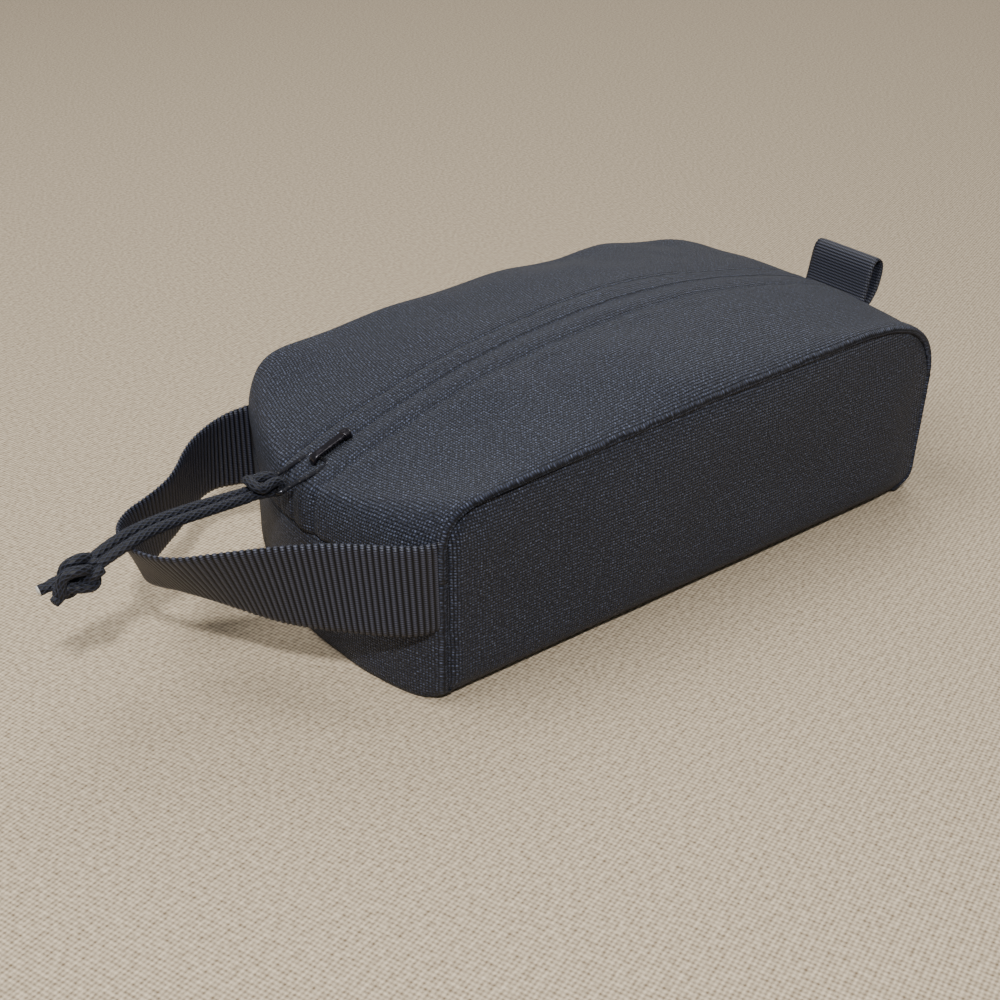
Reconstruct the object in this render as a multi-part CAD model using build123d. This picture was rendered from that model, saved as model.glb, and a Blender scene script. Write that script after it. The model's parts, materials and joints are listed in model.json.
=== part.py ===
from build123d import *
import os
from math import asin, cos, degrees, pi, radians, sin, tan

# Small zipped travel pouch: a U-shaped wrap of coated nylon makes the two long sides and the
# bottom, and a gusset with the zip in it runs up the front end, over the top and down the rear end.
# Lengths are millimetres. +X runs from the handle end to the tab end, +Y is the left long side,
# +Z is up and the bottom lies on Z = 0. The model is drawn about the middle of the bag and moved
# along X when it is written, so that the origin is under the middle of the whole length.

# ---- driving dimensions ------------------------------------------------------------------------
BAG_WIDTH = 98.0            # across the two side panels
FABRIC = 1.0                # nylon with its coating and lining
SEAM_GAP = 0.1              # between two panels that meet in a seam

SIDE_FRONT, SIDE_REAR = -91.5, 96.0      # end seams, at the side panels
MID_FRONT, MID_REAR = -102.0, 103.0      # the ends bulge in the middle
BOTTOM_TUCK = 2.5                        # how far the end panels lean in at the floor
SIDE_TOP_FRONT, SIDE_TOP_REAR = (-76.0, 57.6), (72.0, 60.6)
SIDE_TOP_CREST = (-2.0, 61.0)
SIDE_CORNER_FRONT, SIDE_CORNER_REAR = 43.0, 40.0
MID_CORNER_FRONT, MID_CORNER_REAR = 37.0, 46.0

TRACK_X, TRACK_Z, TRACK_R = 7.0, -196.0, 266.0   # the zip runs on an arc about this point
TRACK_FRONT, TRACK_REAR = -99.0, 68.0            # ends of that arc, along X

SEAM_FRONT_Z = 36.0         # zip panels meet the front end panel here
SEAM_REAR_Z = 46.0          # and the rear end panel here
SLIT = 0.9                  # half the gap between the two folded fabric edges

TAPE_DEPTH, TAPE_THICK = 2.7, 0.5        # depth is measured in from the outer face of the fabric
TAPE_INNER, TAPE_OUTER = 0.85, 15.0      # edges of each half of the tape, from the middle
COIL_DEPTH, COIL_THICK, COIL_OUTER = 3.25, 1.5, 3.5

SLIDER_X = -89.0            # middle of the slider when the bag is closed
SLIDER_LENGTH, SLIDER_WIDTH = 13.0, 11.0
PLATE = 0.9
TOP_PLATE_DEPTH, BOTTOM_PLATE_DEPTH = 1.4, 5.15
NECK, NECK_LENGTH = 1.0, 4.0
FLANGE, FLANGE_CLEAR = 1.0, 0.35         # turned-up edges of the bottom plate, and their gap to the tape
BRIDGE_LENGTH, BRIDGE_WIDTH, BRIDGE_THICK = 15.0, 2.6, 1.0
BRIDGE_LEG_WIDTH, BRIDGE_SHOULDER = 1.0, 0.5     # the legs are narrow up to this height, in the slit
BRIDGE_CLEAR = 2.1          # under the bridge, above the fabric
LEG = 1.2                   # thickness of each leg where it stands on the plate, and its inset
SPLAY = 1.0                 # the legs lean together by this much at the top
BEND_OUT, BEND_IN = 0.8, 0.6             # the legs start to lean at these heights

WIRE = 1.2                  # puller wire
LOOP_LENGTH, LOOP_WIDTH, LOOP_CORNER = 15.5, 7.8, 1.3    # between wire centres
LOOP_BAR = 3.7              # the bar under the bridge sits this far ahead of the slider's middle
LOOP_SLOPE = 13.5           # degrees down towards the front, at rest
WIRE_PLAY = 0.35            # between the wire and the fabric under the bridge

CORD = 2.8
STRAND_GAP = 2.9            # between the centres of the two strands
HITCH_WIDTH, HITCH_REACH = 5.4, 7.0      # turns on the bar, and how far the strands come out ahead of it
HITCH_PLAY = 0.05           # between the turns of the hitch and the bar
COLLAR = (4.2, 8.4, 5.8)    # the turn that crosses over both strands
COLLAR_CORNER = 1.6
WAIST = (5.0, HITCH_WIDTH, 5.2)          # the two strands between the collar and the bar
WAIST_AHEAD = 2.6
CORD_RISE = 0.3             # the strands leave this far above the bar

WEBBING, WEBBING_THICK = 25.0, 1.4
HANDLE_LOW = 23.0           # lower edge of the webbing at the seams
HANDLE_DROOP = 2.4          # degrees, the far end of the loop hangs a little
HANDLE_ROOT = (-92.3, 47.6) # where each end leaves its seam: X, and Y to either side
HANDLE_TOP = [(-109.0, -32.0), (-148.6, -7.0), (-141.4, 14.5), (-105.0, 41.5)]     # upper edge, from above
HANDLE_FOOT = [(-103.0, -40.5), (-139.5, 8.5), (-136.5, 19.5), (-101.0, 49.0)]    # lower edge, from above
HANDLE_RADII = [14.0, 11.0, 11.0, 9.0]            # of the bends at those corners

TAB_WIDTH, TAB_THICK = 25.0, 1.0
TAB_ROOT = (104.2, 46.2)
TAB_LOOP = 5.5              # between the middles of its two layers
TAB_TIP_R = 2.7             # the fold at its top
TAB_TOP = 63.0
TAB_NEAR_BEND, TAB_NEAR_R = 5.0, 4.0     # the layer next to the bag straightens up here
TAB_FAR_BEND, TAB_FAR_R = 7.0, 6.0       # and the outer layer here
TAB_FOOT = (1.9, -0.6)      # foot of the outer layer, from the root

THREAD, THREAD_RISE, THREAD_CLEAR = 0.6, 0.4, 0.05
STITCH_LEFT, STITCH_RIGHT, STITCH_PAIR = 7.0, -9.0, 1.6

TRIM = 1.0                  # the outline runs this far under the floor, where it is cut off flat
FAR = 200.0                 # past every side of the bag
pieces = {}                 # node name to finished solid, about the middle of the bag


# ---- helpers -----------------------------------------------------------------------------------
def block(x, y, z):
    """A box between two limits on each axis."""
    size = (x[1] - x[0], y[1] - y[0], z[1] - z[0])
    middle = ((x[0] + x[1]) / 2, (y[0] + y[1]) / 2, (z[0] + z[1]) / 2)
    return Pos(*middle) * Box(*size)


def mix(a, b, share):
    return tuple(p + (q - p) * share for p, q in zip(a, b))


def on_track(x, depth):
    """A point of the zip's arc, at this X on the outer face and this depth below it."""
    turn = asin((x - TRACK_X) / TRACK_R)
    reach = TRACK_R - depth
    return (TRACK_X + reach * sin(turn), TRACK_Z + reach * cos(turn))


def outline(y, depth):
    """Closed outline of the bag across the plane at Y, with every wall moved in by depth."""
    crown = 1 - (2 * y / BAG_WIDTH) ** 2
    front = SIDE_FRONT + (MID_FRONT - SIDE_FRONT) * crown + depth
    rear = SIDE_REAR + (MID_REAR - SIDE_REAR) * crown - depth
    lean = BOTTOM_TUCK
    low = mix(SIDE_TOP_FRONT, on_track(TRACK_FRONT, 0), crown)
    high = mix(SIDE_TOP_REAR, on_track(TRACK_REAR, 0), crown)
    crest = mix(SIDE_TOP_CREST, on_track(SIDE_TOP_CREST[0], 0), crown)
    skin = ThreePointArc((low[0], y, low[1]), (crest[0], y, crest[1]), (high[0], y, high[1]))
    centre, radius = skin.arc_center, skin.radius
    drop = 1 - depth / radius

    def inward(p):
        return (centre.X + (p[0] - centre.X) * drop, y, centre.Z + (p[1] - centre.Z) * drop)

    a, b, c = inward(low), inward(crest), inward(high)
    front_z = SIDE_CORNER_FRONT + (MID_CORNER_FRONT - SIDE_CORNER_FRONT) * crown
    rear_z = SIDE_CORNER_REAR + (MID_CORNER_REAR - SIDE_CORNER_REAR) * crown
    slope_a = (a[0] - centre.X) / (a[2] - centre.Z)
    slope_c = (c[0] - centre.X) / (c[2] - centre.Z)
    corner_a = (front, y, a[2] + slope_a * (a[0] - front))
    corner_c = (rear, y, c[2] - slope_c * (rear - c[0]))
    front_end = (front, y, front_z)
    rear_end = (rear, y, rear_z)
    foot_front = (front + lean, y, depth - TRIM)
    foot_rear = (rear - lean, y, depth - TRIM)
    edges = [
        Line(foot_front, foot_rear),
        Line(foot_rear, rear_end),
        Bezier(rear_end, corner_c, c),
        ThreePointArc(c, b, a),
        Bezier(a, corner_a, front_end),
        Line(front_end, foot_front),
    ]
    return Face(Wire(edges))


def hull(depth):
    """The bag's solid outer shape, with every wall moved in by depth."""
    half = BAG_WIDTH / 2 - depth
    stations = [-half, -half / 2, 0, half / 2, half]
    return loft([outline(y, depth) for y in stations]) & block((-FAR, FAR), (-FAR, FAR), (depth, FAR))


def on_slider(shape):
    """Turn a piece drawn with its middle on the origin into place at the slider, along the arc."""
    turn = asin((SLIDER_X - TRACK_X) / TRACK_R)
    x, z = on_track(SLIDER_X, 0)
    return Pos(x, 0, z) * Rot(0, degrees(turn), 0) * shape


def strand_path(points):
    """Straight runs joined by arcs, each arc as large as its two runs allow."""
    corners = [Vector(*p) for p in points]
    radii = []
    for before, at, after in zip(corners, corners[1:], corners[2:]):
        turn = (at - before).get_angle(after - at)
        shorter = min((at - before).length, (after - at).length)
        radii.append(0.45 * shorter / tan(radians(turn / 2)))
    print("arc radii:", [round(r, 1) for r in radii])
    return FilletPolyline(*points, radius=radii)


def cord_tube(path):
    """Round cord along a path, and a check of its volume against section times length."""
    start = Plane(origin=path @ 0, z_dir=path % 0)
    tube = sweep(start * Circle(CORD / 2), path=path)
    section = pi * CORD ** 2 / 4
    print("cord length", round(path.length, 1), "volume ratio", round(tube.volume / section / path.length, 3))
    return tube


half_width = BAG_WIDTH / 2

# ---- fabric panels -----------------------------------------------------------------------------
shell = hull(0) - hull(FABRIC)
inner_side = half_width - FABRIC
pieces["body_wrap"] = shell - block((-FAR, FAR), (-inner_side, inner_side), (FABRIC, FAR))

edge_y = inner_side - SEAM_GAP
floor_z = FABRIC + SEAM_GAP
low_seam = SEAM_FRONT_Z - SEAM_GAP / 2
rear_seam = SEAM_REAR_Z - SEAM_GAP / 2
across = (-edge_y, edge_y)
pieces["front_end_panel"] = shell & block((-FAR, 0), across, (floor_z, low_seam))
pieces["rear_end_panel"] = shell & block((0, FAR), across, (floor_z, rear_seam))


def above_seams(y, rise=0.0):
    """The zone of the zip panels, between two limits across the bag."""
    front = block((-FAR, 0), y, (SEAM_FRONT_Z + SEAM_GAP / 2 + rise, FAR))
    rear = block((0, FAR), y, (SEAM_REAR_Z + SEAM_GAP / 2 + rise, FAR))
    return front + rear


pieces["zip_panel_left"] = shell & above_seams((SLIT, edge_y))
pieces["zip_panel_right"] = shell & above_seams((-edge_y, -SLIT))

# ---- zip: two halves of tape with the coil sewn to their underside ---------------------------------
tape_layer = hull(TAPE_DEPTH) - hull(TAPE_DEPTH + TAPE_THICK)
coil_layer = hull(COIL_DEPTH) - hull(COIL_DEPTH + COIL_THICK)
END_ALLOWANCE = 2.0
pieces["zipper_tape_left"] = tape_layer & above_seams((TAPE_INNER, TAPE_OUTER), END_ALLOWANCE)
pieces["zipper_tape_right"] = tape_layer & above_seams((-TAPE_OUTER, -TAPE_INNER), END_ALLOWANCE)
pieces["zipper_coil_left"] = coil_layer & above_seams((TAPE_INNER, COIL_OUTER), END_ALLOWANCE)
pieces["zipper_coil_right"] = coil_layer & above_seams((-COIL_OUTER, -TAPE_INNER), END_ALLOWANCE)

# ---- rows of thread that hold the panels to the tape -----------------------------------------------
thread_layer = hull(-THREAD_RISE) - hull(-THREAD_CLEAR)
rows = {
    "topstitch_left": STITCH_LEFT,
    "topstitch_right_inner": STITCH_RIGHT,
    "topstitch_right_outer": STITCH_RIGHT - STITCH_PAIR,
}
for name, y in rows.items():
    pieces[name] = thread_layer & above_seams((y - THREAD / 2, y + THREAD / 2), END_ALLOWANCE)

# ---- slider: two plates joined by a neck, with a bridge for the puller ------------------------------
half_long = SLIDER_LENGTH / 2
half_slider = SLIDER_WIDTH / 2
along = (-half_long, half_long)
top_plate = block(along, (-half_slider, half_slider), (-TOP_PLATE_DEPTH - PLATE, -TOP_PLATE_DEPTH))
low_z = -BOTTOM_PLATE_DEPTH
bottom_plate = block(along, (-half_slider, half_slider), (low_z - PLATE, low_z))
flange_top = -TAPE_DEPTH - TAPE_THICK - FLANGE_CLEAR
neck_along = (-half_long, -half_long + NECK_LENGTH)
neck = block(neck_along, (-NECK / 2, NECK / 2), (low_z, -TOP_PLATE_DEPTH - PLATE))
plates = top_plate + bottom_plate + neck
for side in (-1, 1):
    edge = sorted((side * half_slider, side * (half_slider - FLANGE)))
    plates += block(along, edge, (low_z, flange_top))
pieces["slider_body"] = on_slider(plates)

# The bridge is a flat strip bent down at both ends, through the slit, onto the top plate.
bridge_top = BRIDGE_CLEAR + BRIDGE_THICK
half_bridge = BRIDGE_LENGTH / 2
foot = -TOP_PLATE_DEPTH
front_leg, rear_leg = -half_bridge + LEG, half_bridge - LEG
bridge_line = Polyline(
    (front_leg, 0, foot),
    (front_leg, 0, BEND_OUT),
    (front_leg + SPLAY, 0, bridge_top),
    (rear_leg - SPLAY, 0, bridge_top),
    (rear_leg, 0, BEND_OUT),
    (rear_leg, 0, foot),
    (rear_leg - LEG, 0, foot),
    (rear_leg - LEG, 0, BEND_IN),
    (rear_leg - LEG - SPLAY / 2, 0, BRIDGE_CLEAR),
    (front_leg + LEG + SPLAY / 2, 0, BRIDGE_CLEAR),
    (front_leg + LEG, 0, BEND_IN),
    (front_leg + LEG, 0, foot),
    close=True,
)
bridge_face = Face(Wire(bridge_line))
strip = extrude(bridge_face, amount=BRIDGE_WIDTH / 2, both=True)
strip = strip & block((-FAR, FAR), (-FAR, FAR), (BRIDGE_SHOULDER, FAR))
bridge = strip + extrude(bridge_face, amount=BRIDGE_LEG_WIDTH / 2, both=True)
pieces["slider_bridge"] = on_slider(bridge)

# ---- wire loop of the puller ---------------------------------------------------------------------
bar_turn = asin((SLIDER_X - TRACK_X) / TRACK_R)
slider_at = on_track(SLIDER_X, 0)
bar_rise = WIRE_PLAY + WIRE / 2
bar_x = slider_at[0] - LOOP_BAR * cos(bar_turn) + bar_rise * sin(bar_turn)
bar_z = slider_at[1] + LOOP_BAR * sin(bar_turn) + bar_rise * cos(bar_turn)
slope = radians(LOOP_SLOPE)
end_x = bar_x - LOOP_LENGTH * cos(slope)
end_z = bar_z - LOOP_LENGTH * sin(slope)
loop_middle = Plane(
    origin=((bar_x + end_x) / 2, 0, (bar_z + end_z) / 2),
    x_dir=(cos(slope), 0, sin(slope)),
    z_dir=(-sin(slope), 0, cos(slope)),
)
loop_line = (loop_middle * RectangleRounded(LOOP_LENGTH, LOOP_WIDTH, LOOP_CORNER)).face().outer_wire()
wire_face = Plane(origin=loop_line @ 0, z_dir=loop_line % 0) * Circle(WIRE / 2)
pieces["puller_loop"] = sweep(wire_face, path=loop_line)

# ---- doubled pull cord, hitched on the far bar of the wire loop -------------------------------------
bar_hole = Pos(end_x, 0, end_z) * Rot(90, 0, 0) * Cylinder(WIRE / 2 + HITCH_PLAY, 2 * HITCH_WIDTH)
turns = Pos(end_x, 0, end_z) * Rot(90, 0, 0) * Cylinder(WIRE / 2 + CORD, HITCH_WIDTH)
start_x, start_z = end_x - HITCH_REACH, end_z + CORD_RISE
collar = Pos(start_x + COLLAR[0] / 2, 0, start_z) * Box(*COLLAR)
collar = fillet(collar.edges().filter_by(Axis.Y), COLLAR_CORNER)
waist = Pos(end_x - WAIST_AHEAD, 0, start_z) * Box(*WAIST)
pieces["pull_cord_hitch"] = turns + collar + waist - bar_hole

half_gap = STRAND_GAP / 2
strand_a = [
    (start_x, half_gap, start_z),
    (-127.0, half_gap + 0.2, 49.0),
    (-141.0, half_gap + 0.1, 49.0),
    (-151.0, half_gap + 0.2, 47.2),
    (-156.6, half_gap - 0.2, 44.6),
]
strand_b = [
    (start_x, -half_gap, start_z),
    (-127.5, -half_gap - 0.3, 48.7),
    (-140.5, -half_gap - 0.2, 48.8),
    (-150.5, -half_gap - 0.9, 46.9),
    (-156.2, -half_gap - 0.1, 44.2),
]
pieces["pull_cord_strand_a"] = cord_tube(strand_path(strand_a))
pieces["pull_cord_strand_b"] = cord_tube(strand_path(strand_b))

KNOT_LENGTH, KNOT_WIDTH, KNOT_HEIGHT = 15.0, 10.5, 9.0
KNOT_AT = (-162.4, -0.4, 42.0)
KNOT_SLOPE = 22.0
knot = scale(Sphere(0.5), by=(KNOT_LENGTH, KNOT_WIDTH, KNOT_HEIGHT))
pieces["pull_cord_knot"] = Pos(*KNOT_AT) * Rot(0, -KNOT_SLOPE, 0) * knot

tail_a = [(-167.8, 1.2, 40.6), (-171.4, 1.9, 39.6), (-175.2, 2.2, 39.2)]
tail_b = [(-167.4, -1.8, 39.0), (-169.6, -2.6, 37.6), (-172.0, -3.6, 36.6)]
pieces["pull_cord_tail_a"] = cord_tube(strand_path(tail_a))
pieces["pull_cord_tail_b"] = cord_tube(strand_path(tail_b))

# ---- handle: one piece of webbing with both ends sewn into the front seams --------------------------
root_x, root_y = HANDLE_ROOT


def webbing_outline(corners, z):
    """Ribbon seen from above: from the right seam round the tip and back to the left seam."""
    bends = [(x, y, z) for x, y in corners]
    line = FilletPolyline((root_x, -root_y, z), *bends, (root_x, root_y, z), radius=HANDLE_RADII)
    ribbon = line.offset_2d(WEBBING_THICK, side=Side.LEFT, closed=True)
    return Face(ribbon)


low_ribbon = webbing_outline(HANDLE_FOOT, HANDLE_LOW)
high_ribbon = webbing_outline(HANDLE_TOP, HANDLE_LOW + WEBBING)
handle = loft([low_ribbon, high_ribbon], ruled=True)
handle_z = HANDLE_LOW + WEBBING / 2
droop = Pos(root_x, 0, handle_z) * Rot(0, -HANDLE_DROOP, 0) * Pos(-root_x, 0, -handle_z)
handle = droop * handle
pieces["handle_webbing"] = handle

ALLOWANCE = 8.0             # length of webbing inside the seam
ALLOWANCE_START = SIDE_FRONT + 5.0
LINING_GAP = 0.2            # between the webbing and the inside of the fabric
wall_y = inner_side - LINING_GAP
for name, side in (("handle_end_left", 1), ("handle_end_right", -1)):
    wall = sorted((side * wall_y, side * (wall_y - WEBBING_THICK)))
    along = (ALLOWANCE_START, ALLOWANCE_START + ALLOWANCE)
    inside = block(along, wall, (HANDLE_LOW, HANDLE_LOW + WEBBING))
    pieces[name] = inside & hull(FABRIC + LINING_GAP)

# ---- tab at the rear end: webbing folded in half, standing up out of the seam -----------------------
tab_x, tab_z = TAB_ROOT
near = tab_x + TAB_THICK
far = near + TAB_LOOP
tab_line = FilletPolyline(
    (tab_x, tab_z),
    (near, tab_z + TAB_NEAR_BEND),
    (near, TAB_TOP),
    (far, TAB_TOP),
    (far, tab_z + TAB_FAR_BEND),
    (tab_x + TAB_FOOT[0], tab_z + TAB_FOOT[1]),
    radius=[TAB_NEAR_R, TAB_TIP_R, TAB_TIP_R, TAB_FAR_R],
)
tab_face = trace(tab_line, TAB_THICK)
tab = extrude(Plane.XZ * tab_face, amount=TAB_WIDTH / 2, both=True)
pieces["rear_tab"] = tab
tab_across = (-TAB_WIDTH / 2, TAB_WIDTH / 2)
tab_up = (SEAM_REAR_Z - ALLOWANCE, SEAM_REAR_Z + TAB_THICK)
tab_inside = block((MID_REAR - ALLOWANCE, MID_REAR), tab_across, tab_up)
two_layers = hull(FABRIC + LINING_GAP) - hull(FABRIC + LINING_GAP + 2 * TAB_THICK)
pieces["rear_tab_end"] = tab_inside & two_layers

# ---- the origin goes under the middle of the whole length -------------------------------------------
tip_x = handle.bounding_box().min.X
tab_end_x = tab.bounding_box().max.X
to_origin = -(tip_x + tab_end_x) / 2
print("bag middle at X", round(to_origin, 3), "zip arc centre", round(TRACK_X + to_origin, 3), TRACK_Z)
print("puller bar", round(bar_x + to_origin, 3), round(bar_z, 3))
print("cord bar", round(end_x + to_origin, 3), round(end_z, 3))
print("handle root", round(root_x + to_origin, 3), HANDLE_LOW)
print("tab root", round(tab_x + to_origin, 3), tab_z)

os.makedirs("parts", exist_ok=True)
for name, piece in pieces.items():
    export_step(Pos(to_origin, 0, 0) * piece, f"parts/{name}.step")
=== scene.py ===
import json
from math import asin, cos, exp, pi, radians, sin, sqrt
import bpy
import bmesh
import numpy as np
from mathutils import Matrix, Vector, noise


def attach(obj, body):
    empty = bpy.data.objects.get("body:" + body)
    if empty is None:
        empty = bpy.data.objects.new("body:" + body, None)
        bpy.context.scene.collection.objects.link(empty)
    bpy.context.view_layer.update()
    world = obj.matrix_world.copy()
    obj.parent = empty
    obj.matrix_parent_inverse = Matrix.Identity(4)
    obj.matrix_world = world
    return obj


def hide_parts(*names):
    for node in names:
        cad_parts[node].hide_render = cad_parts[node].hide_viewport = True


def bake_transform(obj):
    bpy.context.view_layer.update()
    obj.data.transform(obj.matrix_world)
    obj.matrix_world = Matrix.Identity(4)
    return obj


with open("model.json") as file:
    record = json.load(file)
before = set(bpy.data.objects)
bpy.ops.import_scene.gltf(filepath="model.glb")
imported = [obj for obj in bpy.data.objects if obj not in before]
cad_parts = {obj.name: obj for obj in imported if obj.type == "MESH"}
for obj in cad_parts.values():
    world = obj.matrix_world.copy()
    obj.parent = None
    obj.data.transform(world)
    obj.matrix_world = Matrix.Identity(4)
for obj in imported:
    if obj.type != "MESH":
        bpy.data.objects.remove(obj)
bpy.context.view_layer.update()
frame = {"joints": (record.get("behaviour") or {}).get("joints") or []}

# ---- camera, floor and lights -----------------------------------------------------------------
# A small product set: a short portrait lens, a beige canvas laid flat, one broad lamp high behind
# the front end, a softer one from the other side, and a small lamp above the lens for the glints.
zip_joint = next(j for j in frame["joints"] if j["name"] == "zip_travel")
from_bag = zip_joint["pos_m"][0] - 0.007      # every piece is drawn about the middle of the bag
turn, rise, reach = radians(-37.87), radians(29.42), 0.41269
aim = Vector((from_bag - 0.04614, -0.01546, 0.030))
back = Vector((sin(turn) * cos(rise), -cos(turn) * cos(rise), sin(rise)))
camera = bpy.data.objects.new("camera", bpy.data.cameras.new("camera"))
camera.data.lens, camera.data.sensor_width = 54.0, 36.0
camera.data.clip_start, camera.data.clip_end = 0.01, 20.0
camera.location = aim + back * reach
camera.rotation_euler = back.to_track_quat("Z", "Y").to_euler()
bpy.context.collection.objects.link(camera)
bpy.context.scene.camera = camera


def linear(hex_colour):
    """An sRGB hex colour as the linear values that a shader reads."""
    parts = [int(hex_colour[i:i + 2], 16) / 255 for i in (1, 3, 5)]
    return [c / 12.92 if c < 0.04045 else ((c + 0.055) / 1.055) ** 2.4 for c in parts] + [1.0]


def node(tree, kind, inputs=None, **settings):
    """Adds one node: settings are its properties, and inputs are values or sockets to link."""
    made = tree.nodes.new(kind)
    for name, value in settings.items():
        setattr(made, name, value)
    for name, value in (inputs or {}).items():
        if isinstance(value, bpy.types.NodeSocket):
            tree.links.new(value, made.inputs[name])
        else:
            made.inputs[name].default_value = value
    return made


def maths(tree, operation, *values):
    return node(tree, "ShaderNodeMath", dict(enumerate(values)), operation=operation)


def scaled(tree, vector, scale):
    return node(tree, "ShaderNodeVectorMath", {0: vector, "Scale": scale}, operation="SCALE")


def mix(tree, factor, low, high):
    """A colour between two by the factor; each of the two is an sRGB hex or a socket."""
    low, high = (linear(c) if isinstance(c, str) else c for c in (low, high))
    return node(tree, "ShaderNodeMix", {"Factor": factor, 6: low, 7: high}, data_type="RGBA")


def new_material(name):
    """An empty material with its shader, ready for its own nodes."""
    made = bpy.data.materials.new(name)
    made.use_nodes = True
    return made, made.node_tree, made.node_tree.nodes["Principled BSDF"]


floor_mesh = bmesh.new()
bmesh.ops.create_grid(floor_mesh, x_segments=1, y_segments=1, size=3.0)
floor = bpy.data.objects.new("floor", bpy.data.meshes.new("floor"))
floor_mesh.to_mesh(floor.data)
bpy.context.collection.objects.link(floor)
canvas, tree, shader = new_material("plain woven cotton canvas")      # the yarns give it a fine grain
THREAD_PITCH = 0.0008                # from one canvas yarn to the next
CANVAS_TURN = radians(24.0)          # the cloth doesn't lie square to the bag
spot = node(tree, "ShaderNodeTexCoord")
turned = {"Vector": spot.outputs["Object"], "Rotation": (0.0, 0.0, CANVAS_TURN)}
turned = node(tree, "ShaderNodeMapping", turned)
counts = scaled(tree, turned.outputs[0], pi / THREAD_PITCH)
parts = node(tree, "ShaderNodeSeparateXYZ", {"Vector": counts.outputs[0]})
threads = [maths(tree, "SINE", parts.outputs[side]) for side in ("X", "Y")]
crossing = maths(tree, "MULTIPLY", threads[0].outputs[0], threads[1].outputs[0])
slub = node(tree, "ShaderNodeTexNoise", {"Vector": spot.outputs["Object"], "Scale": 700.0, "Detail": 2.0})
grain = maths(tree, "MULTIPLY_ADD", crossing.outputs[0], 0.32, slub.outputs["Fac"])
fine = mix(tree, grain.outputs[0], "#6B5A42", "#D6C4A8")
tree.links.new(fine.outputs[2], shader.inputs["Base Color"])
relief = node(tree, "ShaderNodeBump", {"Height": grain.outputs[0], "Strength": 0.5, "Distance": 0.0003})
tree.links.new(relief.outputs["Normal"], shader.inputs["Normal"])
shader.inputs["Roughness"].default_value = 0.9
floor.data.materials.append(canvas)

# name, azimuth, elevation, distance in metres, size in metres, power in watts
lamps = [
    ("key", -118.0, 62.0, 1.3, 0.7, 13.0),
    ("window", 130.0, 47.0, 2.0, 1.1, 16.0),
    ("flash", -34.0, 46.0, 0.9, 0.05, 8.5),
]
for name, around, up, far, size, power in lamps:
    a, e = radians(around), radians(up)
    towards = Vector((sin(a) * cos(e), -cos(a) * cos(e), sin(e)))
    lamp = bpy.data.objects.new(name, bpy.data.lights.new(name, "AREA"))
    lamp.data.size, lamp.data.energy = size, power
    lamp.location = aim + towards * far
    lamp.rotation_euler = towards.to_track_quat("Z", "Y").to_euler()
    bpy.context.collection.objects.link(lamp)
world = bpy.data.worlds.new("room")
world.use_nodes = True
world.node_tree.nodes["Background"].inputs["Color"].default_value = (0.95, 0.96, 1.0, 1.0)
world.node_tree.nodes["Background"].inputs["Strength"].default_value = 0.22
bpy.context.scene.world = world

# ---- pull cord -------------------------------------------------------------------------------
# Braided nylon cord, 2.8 mm thick, doubled: it is hitched on the wire of the puller, lies over the
# handle and ends in an overhand knot that both strands share, with two short sealed tails.
CORD = 0.0028
BRAID_CARRIERS = 16                  # yarns round the cord, half of them each way
CORD_GRID = 0.00022                  # from one ring of the cord's mesh to the next
YARN_RELIEF = 0.06                   # how far a yarn stands out, as a share of the thickness
END_ROUND = 0.22                     # how far back an end is rounded, the same way
BRAID_PITCH = 0.0011                 # one crossing of the braid, along the cord
cord_joint = next(j for j in frame["joints"] if j["name"] == "cord_lift")
cord_bar = Vector(cord_joint["pos_m"])

# Matt, with a pale ridge where each yarn crosses over and painted shade, near black, in the hollows between
# them.
braid, tree, shader = new_material("braided nylon cord")
along_cord = node(tree, "ShaderNodeUVMap", uv_map="cloth")
parts = node(tree, "ShaderNodeSeparateXYZ", {"Vector": along_cord.outputs["UV"]})
lines = []
for way in (1.0, -1.0):
    across = maths(tree, "MULTIPLY", parts.outputs["X"], BRAID_CARRIERS / 2.0)
    lengthwise = maths(tree, "MULTIPLY", parts.outputs["Y"], way / (2 * BRAID_PITCH))
    both = maths(tree, "ADD", across.outputs[0], lengthwise.outputs[0])
    wave = maths(tree, "MULTIPLY", both.outputs[0], 2 * pi)
    lines.append(maths(tree, "SINE", wave.outputs[0]))
ridge = maths(tree, "MAXIMUM", lines[0].outputs[0], lines[1].outputs[0])
ridge = node(tree, "ShaderNodeMapRange", {"Value": ridge.outputs[0], "From Min": 0.35, "From Max": 1.0})
# The near black end of this mix is painted shade in the hollows of the braid.
tone = mix(tree, ridge.outputs[0], "#010102", "#212433")
tree.links.new(tone.outputs[2], shader.inputs["Base Color"])
fibre = node(tree, "ShaderNodeBump", {"Height": ridge.outputs[0], "Strength": 0.8, "Distance": 0.00015})
tree.links.new(fibre.outputs["Normal"], shader.inputs["Normal"])
shader.inputs["Roughness"].default_value = 0.55
shader.inputs["Specular IOR Level"].default_value = 0.3
shader.inputs["Sheen Weight"].default_value = 0.05


def strip(wide, long, place, coordinate):
    """A grid whose corners are put in place from where they are across and along it, each 0 to 1."""
    mesh = bmesh.new()
    bmesh.ops.create_grid(mesh, x_segments=wide, y_segments=long, size=0.5)
    layer = mesh.loops.layers.uv.new("cloth")
    for face in mesh.faces:
        face.smooth = True
        for corner in face.loops:
            spot = corner.vert.co
            corner[layer].uv = coordinate(spot.x + 0.5, spot.y + 0.5)
    for corner in mesh.verts:
        corner.co = place(corner.co.x + 0.5, corner.co.y + 0.5)
    bmesh.ops.remove_doubles(mesh, verts=mesh.verts, dist=1e-6)
    return mesh


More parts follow.
